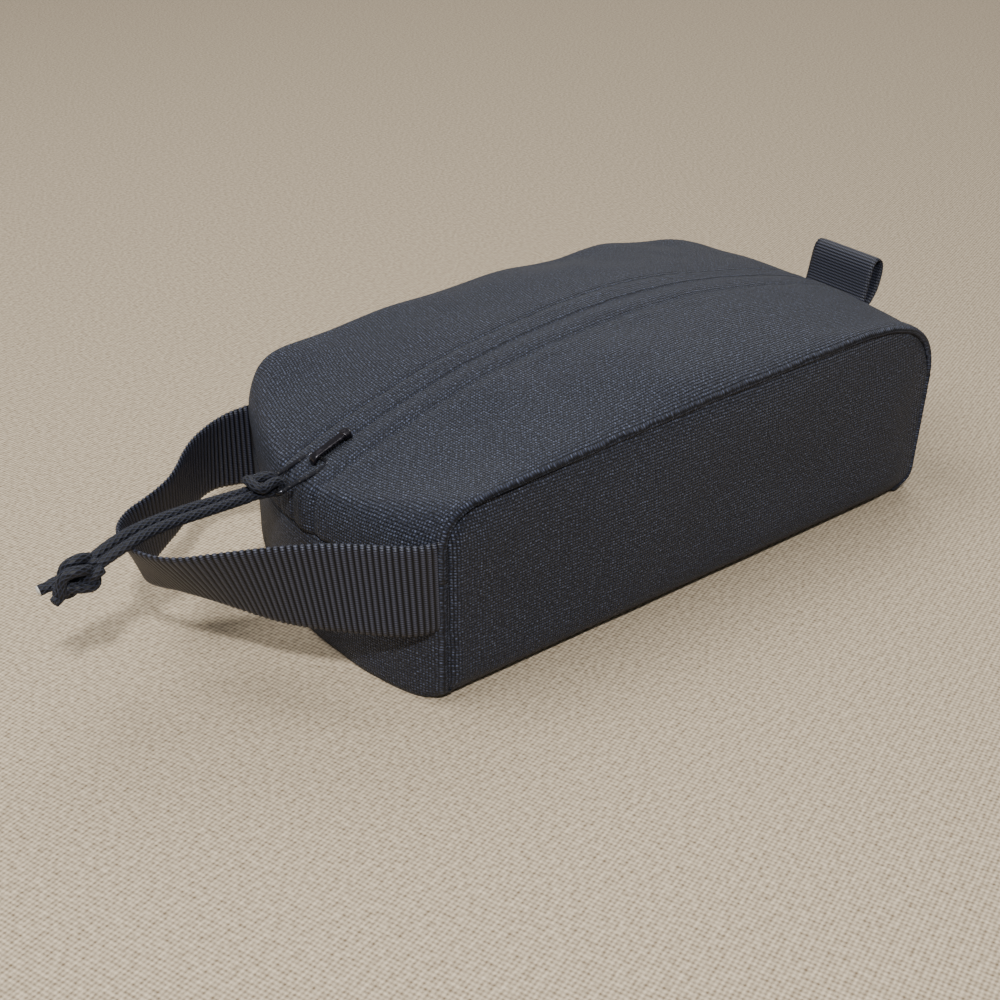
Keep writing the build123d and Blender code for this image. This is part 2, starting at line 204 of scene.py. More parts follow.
def finished(name, mesh, material, body, slot, *nodes):
    """Makes the piece from its mesh, gives it its material and says what it rides on and replaces."""
    made = bpy.data.objects.new(name, bpy.data.meshes.new(name))
    mesh.to_mesh(made.data)
    mesh.free()
    bpy.context.collection.objects.link(made)
    made.data.materials.append(material)
    if isinstance(body, str):
        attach(made, body)
    if nodes:
        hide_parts(*nodes)
    return made


def route_line(points):
    """The smooth line of a route: a NURBS spline with the route's points as its control points."""
    curve = bpy.data.curves.new("route", "CURVE")
    curve.dimensions, curve.resolution_u = "3D", 24
    spline = curve.splines.new("NURBS")
    spline.points.add(len(points) - 1)
    for control, spot in zip(spline.points, points):
        control.co = (*spot, 1.0)
    spline.order_u, spline.use_endpoint_u = 3, True
    holder = bpy.data.objects.new("route", curve)
    bpy.context.collection.objects.link(holder)
    read = bpy.data.meshes.new_from_object(holder)
    line = [v.co.copy() for v in read.vertices]
    bpy.data.objects.remove(holder)
    bpy.data.meshes.remove(read)
    return line


def run_of(line):
    """How far along a line each of its points is."""
    return np.concatenate([[0], np.cumsum(np.linalg.norm(np.diff(line, axis=0), axis=1))])


def at_runs(line, run, at):
    """Places on a line at these distances along it."""
    return np.stack([np.interp(at, run, line[:, k]) for k in range(3)], axis=1)


def unit(vectors):
    return vectors / np.linalg.norm(vectors, axis=-1, keepdims=True)


def spaced(line, gap):
    """The same line with its points evenly apart, and its length."""
    line = np.array([list(p) for p in line])
    run = run_of(line)
    count = max(2, int(round(run[-1] / gap)))
    return at_runs(line, run, np.linspace(0, run[-1], count + 1)), run[-1]


def closed(mesh):
    """Fills the open ends and turns every face outward."""
    bmesh.ops.holes_fill(mesh, edges=[e for e in mesh.edges if e.is_boundary], sides=0)
    bmesh.ops.recalc_face_normals(mesh, faces=mesh.faces)
    return mesh


def carried(line):
    """Two directions across the line at each point, carried along it without twist."""
    ahead = unit(np.gradient(line, axis=0))
    side = np.cross(ahead[0], (0.0, 0.0, 1.0))
    if np.linalg.norm(side) < 0.2:
        side = np.cross(ahead[0], (0.0, 1.0, 0.0))
    sides = []
    for way in ahead:
        side = unit(side - way * np.dot(side, way))
        sides.append(side)
    sides = np.array(sides)
    return sides, np.cross(ahead, sides)


def cord_piece(points, thick=CORD, closed_ends=True):
    """A length of braided cord whose yarns stand out of its surface, along a route."""
    line, length = spaced(route_line(points), CORD_GRID)
    sides, ups = carried(line)
    round_count, long_count = 32, len(line) - 1
    relief = YARN_RELIEF * thick

    def place(a, b):
        j = int(round(b * long_count))
        travel = b * length
        lift = 0.0
        for way in (1, -1):
            lift = max(lift, sin(2 * pi * (a * BRAID_CARRIERS / 2 + way * travel / (2 * BRAID_PITCH))))
        ends = 1.0
        if closed_ends:
            edge = min(travel, length - travel) / (END_ROUND * thick)
            ends = sqrt(max(0.0, 1 - (1 - min(edge, 1.0)) ** 2)) if edge < 1 else 1.0
        radius = (thick / 2 - relief + relief * lift) * max(ends, 0.02)
        angle = 2 * pi * a
        return Vector(line[j] + sides[j] * cos(angle) * radius + ups[j] * sin(angle) * radius)

    mesh = closed(strip(round_count, long_count, place, lambda a, b: (a, b * length)))
    return mesh, [Vector(p) for p in line], length


def from_middle(points):
    """Routes are listed in millimetres from the middle of the bag."""
    return [Vector((x / 1000 + from_bag, y / 1000, z / 1000)) for x, y, z in points]


bar_mm = [(cord_bar.x - from_bag) * 1000, 0.0, cord_bar.z * 1000]
strand_routes = {
    "a": [(-127.0, 1.65, 49.0), (-141.0, 1.55, 49.0), (-151.0, 1.65, 47.2), (-156.6, 1.25, 44.6)],
    "b": [(-127.5, -1.75, 48.7), (-140.5, -1.65, 48.8), (-150.5, -2.35, 46.9), (-156.2, -1.55, 44.2)],
}
BESIDE = {"a": 1.45, "b": -1.45}     # where each strand leaves the hitch, across the bag
strands = {}
for which, route in strand_routes.items():
    route = [(bar_mm[0] - 7.0, BESIDE[which], bar_mm[2] + 0.3)] + route
    mesh, line, length = cord_piece(from_middle(route), closed_ends=False)
    piece = finished("cord_strand_" + which, mesh, braid, "pull_cord", "cord", "pull_cord_strand_" + which)
    strands[which] = (piece, line, length)

# The knot is an overhand knot in both strands at once. It starts as a wide open knot, and pulling
# its ends draws it tight: the cord keeps its length and no two turns may come closer than its thickness.
KNOT_CORD = CORD * 0.86              # the turns press into each other
KNOT_SQUASH = (0.66, 0.92, 0.78)     # and pulling on the ends has packed them, along, up and sideways
KNOT_REACH = 0.0066                  # half its length
KNOT_ROUNDS = 900                    # rounds of tightening
HITCH_CORD = CORD * 0.95             # the hitch is drawn tight round the wire


def tight_knot(thick):
    """The middle lines of the two strands in a tightened overhand knot, drawn out along X."""
    t = np.linspace(-2.12, 2.12, 84)
    count = len(t)
    loose = np.stack([t ** 3 - 3 * t, t ** 4 - 4 * t ** 2 + 2, 0.3 * (t ** 5 - 10 * t)], axis=1) * thick * 1.3
    loose, length = spaced(loose, np.linalg.norm(np.diff(loose, axis=0), axis=1).sum() / (count - 1))
    ahead = unit(np.gradient(loose, axis=0))
    side, sides = np.array([0.0, 0.0, 1.0]), []
    for way in ahead:
        side = unit(side - way * np.dot(side, way))
        sides.append(side)
    apart = np.array(sides) * thick * 0.55
    count = len(loose)
    spots = np.concatenate([loose + apart, loose - apart])
    gap = length / (count - 1)
    place, strand = np.arange(2 * count) % count, np.arange(2 * count) // count
    along = np.abs(place[:, None] - place[None, :]) * gap
    free = (strand[:, None] == strand[None, :]) & (along < thick * 1.3)
    starts = [i for i in range(2 * count - 1) if place[i] < count - 1]
    links = [np.array([i for i in starts if i % 2 == odd]) for odd in (0, 1)]
    inside = np.where((place > 0) & (place < count - 1))[0]
    for _ in range(KNOT_ROUNDS):
        between = spots[:, None] - spots[None]
        distance = np.linalg.norm(between, axis=2) + 1e-12
        close = (distance < thick) & ~free
        push = np.where(close, (thick - distance) / distance * 0.5, 0.0)
        spots += 0.9 * (between * push[:, :, None]).sum(axis=1) / np.sqrt(close.sum(axis=1).clip(1))[:, None]
        for one, other in ((0, count), (count - 1, 2 * count - 1)):
            for end in (one, other):
                outward_pull = (np.sign(spots[end, 0]) * thick * 0.17, 0.0, 0.0)
                spots[end] = spots[end] * (1.0, 0.97, 0.97) + outward_pull
            middle, half = (spots[one] + spots[other]) / 2, spots[one] - spots[other]
            half *= thick * 0.52 / np.linalg.norm(half)
            spots[one], spots[other] = middle + half, middle - half
        for _ in range(6):
            for first in links:
                step = spots[first + 1] - spots[first]
                reach = np.linalg.norm(step, axis=1)[:, None] + 1e-12
                fix = (reach - gap) / reach * 0.5 * step
                spots[first] += fix
                spots[first + 1] -= fix
        spots[inside] += 0.12 * ((spots[inside - 1] + spots[inside + 1]) / 2 - spots[inside])
    spots *= KNOT_SQUASH
    return spots[:count], spots[count:]


knot_lines = tight_knot(KNOT_CORD)
entry = [np.array(list(strands[which][1][-1])) for which in "ab"]
leaving = unit(np.array(strands["a"][1][-1] - strands["a"][1][-40]))
sideways = entry[0] - entry[1]
sideways = unit(sideways - leaving * np.dot(sideways, leaving))
upwards = np.cross(sideways, leaving)
flip = 1.0 if knot_lines[0][0, 0] < 0 else -1.0
knot_middle = (entry[0] + entry[1]) / 2 + leaving * (KNOT_REACH - 0.001)
level = sum(line[:, 1:].mean(axis=0) for line in knot_lines) / 2
knot_pieces = []
for line in knot_lines:
    inner = line[np.abs(line[:, 0]) < KNOT_REACH]
    if inner[0, 0] * flip > 0:
        inner = inner[::-1]
    route = []
    for x, y, z in inner:
        share = min(1.0, (KNOT_REACH - abs(x)) / 0.003)
        off_line = upwards * (y - level[0]) * share + sideways * (z - level[1])
        route.append(Vector(knot_middle + leaving * x * flip + off_line))
    which = "ab"[len(knot_pieces)]
    mesh, _, _ = cord_piece(route)
    turns = finished("cord_knot_" + which, mesh, braid, "pull_cord", "cord", "pull_cord_knot")
    knot_pieces.append(turns)

# The hitch: the middle of the cord goes through the wire and back over both strands.
half_hitch = [
    (-7.6, 1.45, 0.6), (-4.4, 1.40, 0.2), (-1.2, 1.45, -0.2), (1.5, 1.50, -0.9), (2.6, 1.55, 0.2),
    (1.2, 1.7, 2.4), (-1.4, 2.4, 2.7), (-3.6, 3.0, 2.0), (-5.4, 2.6, 3.0),
]
hitch_turns = half_hitch + [(-6.0, 0.0, 3.9)] + [(x, -y, z) for x, y, z in reversed(half_hitch)]
hitch_route = [(bar_mm[0] + x, y, bar_mm[2] + z) for x, y, z in hitch_turns]
mesh, _, _ = cord_piece(from_middle(hitch_route), HITCH_CORD)
hitch = finished("cord_hitch", mesh, braid, "pull_cord", "cord", "pull_cord_hitch")

# Two tails, cut with a hot knife. On the one that faces up, the nylon melted into a pale, waxy cap.
sealed, tree, shader = new_material("melted nylon")
shader.inputs["Base Color"].default_value = linear("#BDB9B0")
shader.inputs["Roughness"].default_value = 0.35
tail_routes = {
    "a": [(-164.2, 1.0, 41.6), (-166.4, 1.3, 41.4), (-168.4, 1.7, 41.0), (-170.8, 1.9, 40.6)],
    "b": [(-164.0, -1.2, 40.6), (-165.6, -1.6, 40.0), (-167.2, -2.0, 39.4), (-168.8, -2.4, 38.6)],
}
SEALED = 0.0015                      # how far the melted part reaches from the end
tails = []
for which, route in tail_routes.items():
    mesh, line, _ = cord_piece(from_middle(route))
    tail = finished("cord_tail_" + which, mesh, braid, "pull_cord", "cord", "pull_cord_tail_" + which)
    tail.data.materials.append(sealed)
    end = line[-1]
    for face in tail.data.polygons:
        if (face.center - end).length < SEALED and which == "a":
            face.material_index = 1
    tails.append(tail)

for which, others in (("a", [hitch, knot_pieces[0], tails[0]]), ("b", [knot_pieces[1], tails[1]])):
    piece, line, length = strands[which]
    tuple(line[0])
    [tuple(p) for p in line]


# ---- fabric panels ----------------------------------------------------------------------------
# Plain-weave nylon, about 1000 denier, coated on the back so that it holds its shape. One wrap makes
# the sides and the bottom; the ends and the top are a gusset, sewn in with every seam turned inside.
YARN = 0.00082                       # between neighbouring yarns
CLOTH = 0.0009                       # thickness with the coating
WIDTH = 0.098
SLIT = 0.0004                        # half the gap between the two folds over the zip
STITCH_LEFT, STITCH_RIGHT = 0.0070, -0.0090        # the rows of stitching beside the zip
STITCH_PAIR = 0.0016                 # from the inner row on the right to the outer one
track = Vector((zip_joint["pos_m"][0] - from_bag, 0.0, zip_joint["pos_m"][2]))
TRACK_R = 0.266

# Matt and a little blue. The crossing yarns give it a basket grain, with painted shade, near black, in the
# gaps between the yarns, painted sheen in the two tones of the crossing yarns, and pale painted highlights
# where single yarns catch the light; the noise bends the lines of yarn off true.
nylon, tree, shader = new_material("woven 1000 denier nylon")
cloth = node(tree, "ShaderNodeUVMap", uv_map="cloth")
flow = node(tree, "ShaderNodeTexNoise", {"Vector": cloth.outputs["UV"], "Scale": 160.0, "Detail": 2.0})
shift = {0: flow.outputs["Color"], 1: (0.5, 0.5, 0.5)}
shift = node(tree, "ShaderNodeVectorMath", shift, operation="SUBTRACT")
shift = scaled(tree, shift.outputs[0], YARN * 0.7)
wavy = node(tree, "ShaderNodeVectorMath", {0: cloth.outputs["UV"], 1: shift.outputs[0]}, operation="ADD")
yarns = scaled(tree, wavy.outputs[0], 1 / YARN)
parts = node(tree, "ShaderNodeSeparateXYZ", {"Vector": yarns.outputs[0]})
humps = []
for side in ("X", "Y"):
    half_turn = maths(tree, "MULTIPLY", parts.outputs[side], pi)
    wave = maths(tree, "SINE", half_turn.outputs[0])
    humps.append(maths(tree, "ABSOLUTE", wave.outputs[0]))
hump = maths(tree, "MULTIPLY", humps[0].outputs[0], humps[1].outputs[0])
hump = maths(tree, "POWER", hump.outputs[0], 1.1)
turns = node(tree, "ShaderNodeTexChecker", {"Vector": yarns.outputs[0], "Scale": 1.0})
# This noise places pale painted highlights where single yarns catch the light.
glint_noise = node(tree, "ShaderNodeTexNoise", {"Vector": cloth.outputs["UV"], "Scale": 1500.0, "Detail": 1.0})
# The two tones of the checker are painted sheen on the crossing yarns.
warp_weft_sheen = mix(tree, turns.outputs["Fac"], "#212639", "#131727")
glint_flecks = {"Value": glint_noise.outputs["Fac"], "From Min": 0.47, "From Max": 0.74}
glint_flecks = node(tree, "ShaderNodeMapRange", glint_flecks)
yarn_tone_and_glints = mix(tree, glint_flecks.outputs[0], warp_weft_sheen.outputs[2], "#5F6780")
# Painted shade: near black in the gaps between the yarns, the yarn's tone on their humps.
tone = mix(tree, hump.outputs[0], "#020307", yarn_tone_and_glints.outputs[2])
tree.links.new(tone.outputs[2], shader.inputs["Base Color"])
relief = node(tree, "ShaderNodeBump", {"Height": hump.outputs[0], "Strength": 1.0, "Distance": 0.0003})
tree.links.new(relief.outputs["Normal"], shader.inputs["Normal"])
shader.inputs["Roughness"].default_value = 0.62
shader.inputs["Specular IOR Level"].default_value = 0.28
shader.inputs["Sheen Weight"].default_value = 0.05

# The form: the outline of the bag along each line of cloth, from the front foot up, over to the rear and
# back under it. Each line lies at its own distance from the middle of the bag.
# Counts are the number of faces along each stretch of the outline.
STRETCHES = dict(front=20, front_brow=3, front_corner=14, top=92, rear_corner=16, rear=26, bottom=66)
HALF = WIDTH * 500                   # half the width of the bag, in millimetres like the rest of the form
FRONT_TUCK, FRONT_TUCK_LEFT, REAR_TUCK = 2.0, 4.0, 6.0     # how round the lower corners of the ends are


def bend(a, b, c, t):
    """A point on the curve from a to c that leaves along a-b and arrives along b-c."""
    return a * (1 - t) ** 2 + b * 2 * t * (1 - t) + c * t ** 2


def tucked(z, radius, y):
    """How far the foot of an end panel draws in at height z: its bottom corners are round."""
    corner = min(1.0, max(0.0, (abs(y) - 34.0) / 15.0)) ** 2
    under = max(0.0, 1 - z / (1.6 * radius))
    return corner * radius * (1 - sqrt(1 - under ** 2))


def outline(y):
    """Points round the bag at y, in millimetres: its ends bow out, and its left side stands taller."""
    crown = 1 - (y / HALF) ** 2
    left, right = max(0.0, y / HALF), max(0.0, -y / HALF)
    front_tuck = FRONT_TUCK + FRONT_TUCK_LEFT * left
    front = -91.5 - 10.0 * crown + 1.7 * right ** 2 + 3.4 * left ** 2
    rear = 96.0 + 7.0 * crown
    low = np.array([-76.0 - 23.0 * crown + 3.0 * left ** 2, 57.2 - 9.2 * crown + 4.6 * left])
    high = np.array([60.0 + 8.0 * crown - 2.0 * left ** 2, 62.2 + 1.0 * crown + 1.6 * left])
    middle = np.array([-2.0, 60.3 + 9.55 * crown + 5.4 * left])
    centre, radius = circle_of(low, middle, high)
    front_end = np.array([front + 3.4 * left ** 2, 43.0 - 6.0 * crown])
    rear_end = np.array([rear, 40.0 + 6.0 * crown - 3.0 * left])
    seam_end = np.array([front + 2.6 * left ** 2, 36.0])
    foot_front, foot_rear = np.array([front + 2.5 - 3.0 * right, 0.0]), np.array([rear - 2.5, 0.0])
    slope_low = (low[0] - centre[0]) / (low[1] - centre[1])
    slope_high = (high[0] - centre[0]) / (high[1] - centre[1])
    brow = np.array([front, low[1] + slope_low * (low[0] - front)])
    shoulder = np.array([rear, high[1] - slope_high * (rear - high[0])])
    points = []
    for name, count in STRETCHES.items():
        for t in np.arange(count) / count:
            if name == "bottom":
                t -= 0.11 * sin(2 * pi * t)
            if name == "front":
                points.append(foot_front + (seam_end - foot_front) * t)
                points[-1][0] += tucked(points[-1][1], front_tuck, y)
            elif name == "front_brow":
                points.append(seam_end + (front_end - seam_end) * t)
            elif name == "front_corner":
                points.append(bend(front_end, brow, low, t))
            elif name == "top":
                a0, a1 = np.arctan2(*(low - centre)), np.arctan2(*(high - centre))
                angle = a0 + (a1 - a0) * t
                points.append(centre + radius * np.array([np.sin(angle), np.cos(angle)]))
            elif name == "rear_corner":
                points.append(bend(high, shoulder, rear_end, t))
            elif name == "rear":
                points.append(rear_end + (foot_rear - rear_end) * t)
                points[-1][0] -= tucked(points[-1][1], REAR_TUCK, y)
            else:
                start = foot_rear[0] - tucked(0.0, REAR_TUCK, y)
                end = foot_front[0] + tucked(0.0, front_tuck, y)
                points.append(np.array([start + (end - start) * t, 0.0]))
    return np.array([(x, y, z) for x, z in points])


def circle_of(a, b, c):
    """The centre and radius of the circle through three points."""
    lines = 2 * np.array([b - a, c - a])
    centre = np.linalg.solve(lines, np.array([b @ b - a @ a, c @ c - a @ a]))
    return centre, np.linalg.norm(a - centre)


stops = np.concatenate([[0], np.cumsum(list(STRETCHES.values()))])
FRONT_SEAM, REAR_SEAM, REAR_FOOT = stops[1], stops[5], stops[6]
ROUND = int(stops[-1])

# Lines of cloth across the bag: close together at the seams, the stitching and the slit.
edge = [0.0, 0.5, 1.1, 1.8, 2.8, 4.2, 6.0, 8.0]
right_lines = [-HALF + e for e in edge] + list(np.linspace(-38.6, -13.4, 14))
right_lines += [-12.0, -11.2, -10.6, -10.0, -9.5, -9.0, -8.4, -7.4, -6.0, -4.6, -3.3, -2.2, -1.3, -0.7, -0.4]
left_lines = [0.4, 0.7, 1.3, 2.2, 3.3, 4.6, 5.8, 6.5, 7.0, 7.6, 8.4, 9.6, 11.2]
left_lines += list(np.linspace(13.4, 38.6, 14)) + [HALF - e for e in reversed(edge)]
lines_across = np.array(right_lines + left_lines)
RIGHT_FOLD = len(right_lines) - 1
LEFT_FOLD = RIGHT_FOLD + 1

form = np.array([outline(y) for y in lines_across])
ahead = np.roll(form, -1, axis=1) - np.roll(form, 1, axis=1)
across = np.gradient(form, axis=0)
outward = unit(np.cross(across, ahead))
middle_of_top = (stops[3] + stops[4]) // 2
if outward[len(lines_across) // 2, middle_of_top, 2] < 0:
    outward = -outward
steps = np.linalg.norm(np.roll(form, -1, axis=1) - form, axis=2)
travel = np.concatenate([np.zeros((len(form), 1)), np.cumsum(steps, axis=1)], axis=1)


SEAM_DEPTH = 1.35                    # a turned seam lies this far under the cloth beside it
ROW_GAP_MM = 1.9                     # between neighbouring points of the outline, near the seams


def dip(distance, depth, width):
    """A soft groove this deep and wide."""
    return -depth * exp(-(distance / width) ** 2)


def seam_profile(distance, roll=2.6):
    """How far the cloth stands out beside a turned seam: it rolls over into a narrow groove."""
    return -SEAM_DEPTH * exp(-distance / roll) + dip(distance, 0.35, 0.5)


def smooth_noise(x, y, z, size):
    return noise.noise(Vector((x / size + 3.1, y / size + 7.7, z / size + 1.3)))


def cloth_relief(i, y, spot):
    """How far the gusset stands out from its form at a point of the outline, in millimetres."""
    x, _, z = spot
    on_bottom = i >= REAR_FOOT
    from_side = HALF - abs(y)
    height = 0.0
    if not on_bottom:
        height += seam_profile(from_side)
        for seam in (FRONT_SEAM, REAR_SEAM):
            height += seam_profile(abs(i - seam) * ROW_GAP_MM) * min(1.0, from_side / 14.0)
        height += seam_profile(min(i, abs(REAR_FOOT - i)) * ROW_GAP_MM) * 0.7
    if FRONT_SEAM < i < REAR_SEAM:
        rows = [STITCH_LEFT * 1000] if y > 0 else [STITCH_RIGHT * 1000, (STITCH_RIGHT - STITCH_PAIR) * 1000]
        for row in rows:
            pucker = 0.75 + 0.25 * sin(2 * pi * x / 6.2 + y)
            height += dip(y - row, 0.55 * pucker, 0.75) - dip(y - row + 2.2, 0.2, 1.0)
        height += dip(abs(y) - SLIT * 1000, 0.35, 0.4)
        if y < 0:
            height -= dip(y + 4.8, 0.55, 2.2)
    if not on_bottom:
        held = 0.25 + 0.75 * min(1.0, abs(y) / 14.0)          # the zip holds the cloth flat beside it
        height += 1.2 * held * smooth_noise(x, y, z, 36.0) * min(1.0, from_side / 8.0)
        height += 0.5 * held * smooth_noise(x, y, z, 14.0) * min(1.0, from_side / 5.0)
        if y > 0:
            near = exp(-(from_side - 6.0) ** 2 / 80.0)
            height += 1.5 * near * smooth_noise(x, 0.0, 0.0, 19.0)
    return height


SEAM_IN = 1.4                        # the side seams lie this far inside the width of the bag
FOOT_R = 7.0                         # the lower edges of the bag are this round
OFF_FLOOR = 0.55                     # no point of the form is lower, which leaves room for the cloth's wall
shaped = form.copy()
for j, y in enumerate(lines_across):
    for i in range(ROUND):
        shaped[j, i] += outward[j, i] * cloth_relief(i, y, form[j, i])
for j, side in ((0, -1), (-1, 1)):
    for i in range(ROUND):
        past_seam = max(0, min(i - REAR_FOOT, ROUND - i))
        shaped[j, i, 1] = side * (HALF - SEAM_IN * exp(-past_seam / 1.5))


def rounded_foot(x, y, z):
    """The place of a point of cloth once the lower edge of the bag is round, in metres."""
    z = max(z, 0.0)
    p, q = max(0.0, (abs(y) - HALF + FOOT_R) / FOOT_R), max(0.0, 1 - z / FOOT_R)
    if p > 0 and q > 0:
        y = (HALF - FOOT_R + FOOT_R * p * sqrt(1 - q * q / 2)) * (1 if y > 0 else -1)
        z = FOOT_R * (1 - q * sqrt(1 - min(p, 1.0) ** 2 / 2))
    return Vector((x / 1000 + from_bag, y / 1000, max(z, OFF_FLOOR) / 1000))


def cloth_point(i, j):
    return rounded_foot(*shaped[j, i % ROUND])


def panel(name, first, last, low, high):
    """One panel of the gusset, between two places on the outline and two lines of cloth."""
    wide, long = high - low, last - first

    def place(a, b):
        return cloth_point(first + int(round(b * long)), low + int(round(a * wide)))

    def coordinate(a, b):
        j, i = low + int(round(a * wide)), first + int(round(b * long))
        return lines_across[j] / 1000, travel[j, i] / 1000

    made = finished(name, strip(wide, long, place, coordinate), nylon, "bag", "nylon", name)
    thicken(made, CLOTH)


def thicken(made, thick):
    """Gives a sheet its thickness."""
    wall = made.modifiers.new("thickness", "SOLIDIFY")
    wall.thickness, wall.offset, wall.use_even_offset = thick, -1.0, False


last_line = len(lines_across) - 1
panel("front_end_panel", 0, FRONT_SEAM, 0, last_line)
panel("rear_end_panel", REAR_SEAM, REAR_FOOT, 0, last_line)
panel("zip_panel_right", FRONT_SEAM, REAR_SEAM, 0, RIGHT_FOLD)
panel("zip_panel_left", FRONT_SEAM, REAR_SEAM, LEFT_FOLD, last_line)

# The wrap: the two sides run into the bottom with no seam, round a soft edge.
wrap = bmesh.new()
wrap.loops.layers.uv.new("cloth")
# Rows up the side panel, from its fold at the floor to its seam at the top, closer together at both.
UP = [0, 0.02, 0.045, 0.075, 0.11] + list(np.linspace(0.15, 0.86, 20)) + [0.89, 0.92, 0.945, 0.965, 0.982, 1]
UP = np.array(UP)


def share_of(line):
    """How far along a line each of its points is, 0 to 1."""
    return run_of(line) / run_of(line)[-1]


def at_shares(line, shares):
    """Points on a line at these shares of its length."""
    return at_runs(line, share_of(line), shares)


def side_panel(j):
    """Points of one side panel: a patch between its four edges, rounded towards its seams, and full."""
    rim = shaped[j]
    side = -1 if lines_across[j] < 0 else 1
    front_top = int(stops[2]) + STRETCHES["front_corner"] // 2
    rear_top = int(stops[4]) + STRETCHES["rear_corner"] // 2
    floor_edge = rim[[k % ROUND for k in range(ROUND, REAR_FOOT - 1, -1)]]
    front, top, rear = rim[:front_top + 1], rim[front_top:rear_top + 1], rim[REAR_FOOT:rear_top - 1:-1]
    u = share_of(floor_edge)[:, None, None]
    v = UP[None, :, None]
    low, high = at_shares(floor_edge, u[:, 0, 0])[:, None], at_shares(top, u[:, 0, 0])[:, None]
    fore, aft = at_shares(front, UP)[None], at_shares(rear, UP)[None]
    corners = (1 - v) * ((1 - u) * floor_edge[0] + u * floor_edge[-1])
    corners += v * ((1 - u) * top[0] + u * top[-1])
    flat = (1 - v) * low + v * high + (1 - u) * fore + u * aft - corners
    seam = np.concatenate([at_shares(line, np.linspace(0, 1, 300)) for line in (front, top, rear)])
    distance = np.linalg.norm(flat[:, :, None, ::2] - seam[None, None, :, ::2], axis=3).min(axis=2)
    full = flat.copy()
    for a in range(full.shape[0]):
        for b in range(full.shape[1]):
            x, _, z = flat[a, b]
            d = distance[a, b]
            off_floor = min(1.0, z / 9.0)
            puff = 1.8 * (1 - (1 - min(1.0, d / 26.0)) ** 2) * off_floor
            behind_seam = exp(-((x + 86.0) / 3.2) ** 2) * min(1.0, d / 3.0)
            soft = 1.3 * smooth_noise(x, side * HALF, z, 38.0) + 0.4 * smooth_noise(x, side * HALF, z, 15.0)
            height = puff + seam_profile(d, 3.4) + 1.0 * behind_seam + soft * min(1.0, d / 10.0) * off_floor
            full[a, b, 1] = side * (HALF + height)
            low_rear = min(1.0, max(0.0, (x - 70.0) / 10.0)) * min(1.0, max(0.0, (50.0 - z) / 10.0))
            full[a, b, 0] += 2.2 * low_rear * exp(-((d - 2.6) / 2.2) ** 2)
    full[:, 0] = floor_edge
    return flat, full


def add_strip(wide, long, place, coordinate):
    """Builds one more grid into the wrap."""
    part = strip(wide, long, place, coordinate)
    holder = bpy.data.meshes.new("part")
    part.to_mesh(holder)
    part.free()
    wrap.from_mesh(holder)
    bpy.data.meshes.remove(holder)


for j in (0, last_line):
    flat, full = side_panel(j)
    high, wide = full.shape[1] - 1, full.shape[0] - 1

    def place(a, b, full=full, high=high, wide=wide):
        return rounded_foot(*full[int(round(b * wide)), int(round(a * high))])

    def coordinate(a, b, flat=flat, high=high, wide=wide, low=(j == 0)):
        x, y, z = flat[int(round(b * wide)), int(round(a * high))] / 1000
        return x + from_bag, z if low else -WIDTH - z

    add_strip(high, wide, place, coordinate)
bottom_count = STRETCHES["bottom"]
add_strip(
    last_line,
    bottom_count,
    lambda a, b: cloth_point(REAR_FOOT + int(round(b * bottom_count)), int(round(a * last_line))),
    lambda a, b: (
        cloth_point(REAR_FOOT + int(round(b * bottom_count)), 0).x,
        -WIDTH / 2 - lines_across[int(round(a * last_line))] / 1000,
    ),
)
# Joins the three grids along their edges. It also merges the lines of the bottom that lie closer together
# than this, which only the top needs.
WELD = 0.0008
bmesh.ops.remove_doubles(wrap, verts=wrap.verts, dist=WELD)
bmesh.ops.recalc_face_normals(wrap, faces=wrap.faces)
for face in wrap.faces:
    face.smooth = True
body_wrap = finished("body_wrap_cloth", wrap, nylon, "bag", "nylon", "body_wrap")
thicken(body_wrap, CLOTH)

# ---- topstitching -----------------------------------------------------------------------------
# Three rows of bonded nylon thread hold the panels to the tape. Each stitch is a short raised
# dash, pulled into the cloth at both ends.
STITCH, STITCH_STEP = 0.0024, 0.0033
THREAD, THREAD_OUT = 0.0008, 0.45    # its thickness, and the share of it that stands out of the groove


def speckled(name, scale, detail, spread, colours, gloss=None, **more):
    """A smooth material with fine specks of a second colour, and where gloss is given, of roughness."""
    made, tree, shader = new_material(name)
    spot = node(tree, "ShaderNodeTexCoord")
    specks = {"Vector": spot.outputs["Object"], "Scale": scale, "Detail": detail}
    specks = node(tree, "ShaderNodeTexNoise", specks).outputs["Fac"]
    share = {"Value": specks, "From Min": spread[0], "From Max": spread[1]}
    tone = mix(tree, node(tree, "ShaderNodeMapRange", share).outputs[0], *colours)
    tree.links.new(tone.outputs[2], shader.inputs["Base Color"])
    if gloss:
        rough = node(tree, "ShaderNodeMapRange", {"Value": specks, "To Min": gloss[0], "To Max": gloss[1]})
        tree.links.new(rough.outputs[0], shader.inputs["Roughness"])
    for socket, value in more.items():
        shader.inputs[socket.replace("_", " ")].default_value = value
    return made


# Smooth, with a small painted highlight on each stitch: the pale speckles of its second colour.
thread = speckled("bonded nylon thread", 2500.0, 1.0, (0, 1), ("#4A4D59", "#9A9EAC"), Roughness=0.42)


def along_row(points, step):
    """Places at even steps along a row, each with its direction."""
    line, _ = spaced(points, step)
    return line, unit(np.gradient(line, axis=0))


def beads(places, ways, sides, size):
    """A small rounded body at each place, as long, wide and high as size says."""
    mesh = bmesh.new()
    for place, way, side in zip(places, ways, sides):
        way, side = Vector(way).normalized(), Vector(side)
        side = (side - way * side.dot(way)).normalized()
        turned = Matrix((way * size[0], side * size[1], way.cross(side) * size[2])).transposed().to_4x4()
        seat = Matrix.Translation(place) @ turned
        bmesh.ops.create_uvsphere(mesh, u_segments=6, v_segments=5, radius=0.5, matrix=seat)
    for face in mesh.faces:
        face.smooth = True
    bmesh.ops.recalc_face_normals(mesh, faces=mesh.faces)
    return mesh


